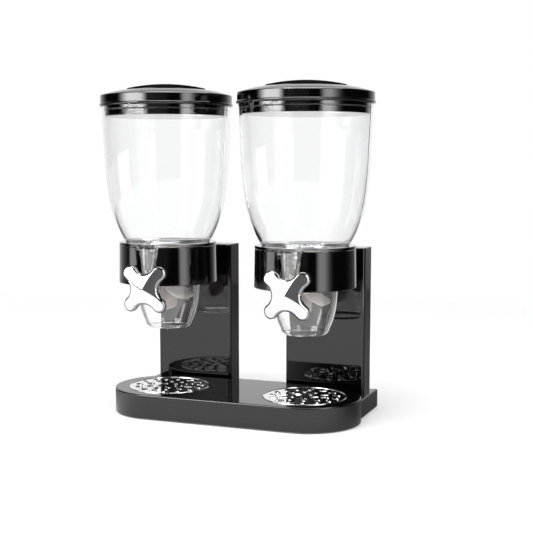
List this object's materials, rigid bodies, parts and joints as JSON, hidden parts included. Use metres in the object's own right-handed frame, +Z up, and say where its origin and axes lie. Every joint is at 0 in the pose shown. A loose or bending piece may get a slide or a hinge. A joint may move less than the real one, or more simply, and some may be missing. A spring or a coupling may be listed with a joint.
{
  "type": "gravity bulk food bin",
  "caption": "Twin countertop dry-food dispenser: lidded clear canisters on clear hoppers in a black stand, with turn knobs, paddle wheels and crumb trays.",
  "frame": {"origin": "on the surface that the feet stand on, under the centre of the whole dispenser's box", "axes": "+Z up, -Y towards the user and the knobs, +X to the user's right"},
  "size_m": [0.333, 0.18, 0.3924],
  "materials": {
    "black_plastic": "high gloss black moulding",
    "matte_black": "fine grained black moulding",
    "clear_plastic": "clear and polished",
    "soft_silicone": "milky translucent, satin",
    "seal_silicone": "satin",
    "knob_chrome": "mirror chrome plating",
    "polished_steel": "mirror polished stainless steel",
    "shaft_steel": "ground",
    "screw_steel": "zinc plated",
    "bush_plastic": "natural white",
    "foot_rubber": "dull black"
  },
  "bodies": {
    "stand": {"base_shell": "black_plastic", "base_plate": "matte_black", "rubber_feet": "foot_rubber", "base_screws": "screw_steel", "left_column": "black_plastic", "left_column_cover": "matte_black", "left_cover_screws": "screw_steel", "left_column_screws": "screw_steel", "left_collar": "black_plastic", "left_collar_screws": "screw_steel", "right_column": "black_plastic", "right_column_cover": "matte_black", "right_cover_screws": "screw_steel", "right_column_screws": "screw_steel", "right_collar": "black_plastic", "right_collar_screws": "screw_steel"},
    "left_hopper_unit": {"left_hopper": "clear_plastic", "left_shaft_bush": "bush_plastic"},
    "left_wheel_unit": {"left_paddle_wheel": "soft_silicone", "left_drive_shaft": "shaft_steel", "left_knob": "knob_chrome"},
    "left_canister_unit": {"left_canister": "clear_plastic"},
    "left_lid_unit": {"left_lid_cap": "black_plastic", "left_lid_plug": "black_plastic", "left_lid_seal": "seal_silicone"},
    "left_tray_unit": {"left_crumb_tray": "polished_steel"},
    "right_hopper_unit": {"right_hopper": "clear_plastic", "right_shaft_bush": "bush_plastic"},
    "right_wheel_unit": {"right_paddle_wheel": "soft_silicone", "right_drive_shaft": "shaft_steel", "right_knob": "knob_chrome"},
    "right_canister_unit": {"right_canister": "clear_plastic"},
    "right_lid_unit": {"right_lid_cap": "black_plastic", "right_lid_plug": "black_plastic", "right_lid_seal": "seal_silicone"},
    "right_tray_unit": {"right_crumb_tray": "polished_steel"}
  },
  "joints": [
    {"name": "left_hopper_lift", "type": "slide", "parent": "stand", "child": "left_hopper_unit", "axis": [0, 0, 1], "range_m": [0, 0.11]},
    {"name": "left_wheel_turn", "type": "hinge", "parent": "left_hopper_unit", "child": "left_wheel_unit", "pos_m": [-0.0875, -0.011, 0.155], "axis": [0, 1, 0], "continuous": true},
    {"name": "left_canister_lift", "type": "slide", "parent": "left_hopper_unit", "child": "left_canister_unit", "axis": [0, 0, 1], "range_m": [0, 0.08]},
    {"name": "left_lid_lift", "type": "slide", "parent": "left_canister_unit", "child": "left_lid_unit", "axis": [0, 0, 1], "range_m": [0, 0.06]},
    {"name": "left_tray_lift", "type": "slide", "parent": "stand", "child": "left_tray_unit", "axis": [0, 0, 1], "range_m": [0, 0.03]},
    {"name": "right_hopper_lift", "type": "slide", "parent": "stand", "child": "right_hopper_unit", "axis": [0, 0, 1], "range_m": [0, 0.11]},
    {"name": "right_wheel_turn", "type": "hinge", "parent": "right_hopper_unit", "child": "right_wheel_unit", "pos_m": [0.0875, -0.011, 0.155], "axis": [0, 1, 0], "continuous": true},
    {"name": "right_canister_lift", "type": "slide", "parent": "right_hopper_unit", "child": "right_canister_unit", "axis": [0, 0, 1], "range_m": [0, 0.08]},
    {"name": "right_lid_lift", "type": "slide", "parent": "right_canister_unit", "child": "right_lid_unit", "axis": [0, 0, 1], "range_m": [0, 0.06]},
    {"name": "right_tray_lift", "type": "slide", "parent": "stand", "child": "right_tray_unit", "axis": [0, 0, 1], "range_m": [0, 0.03]}
  ]
}
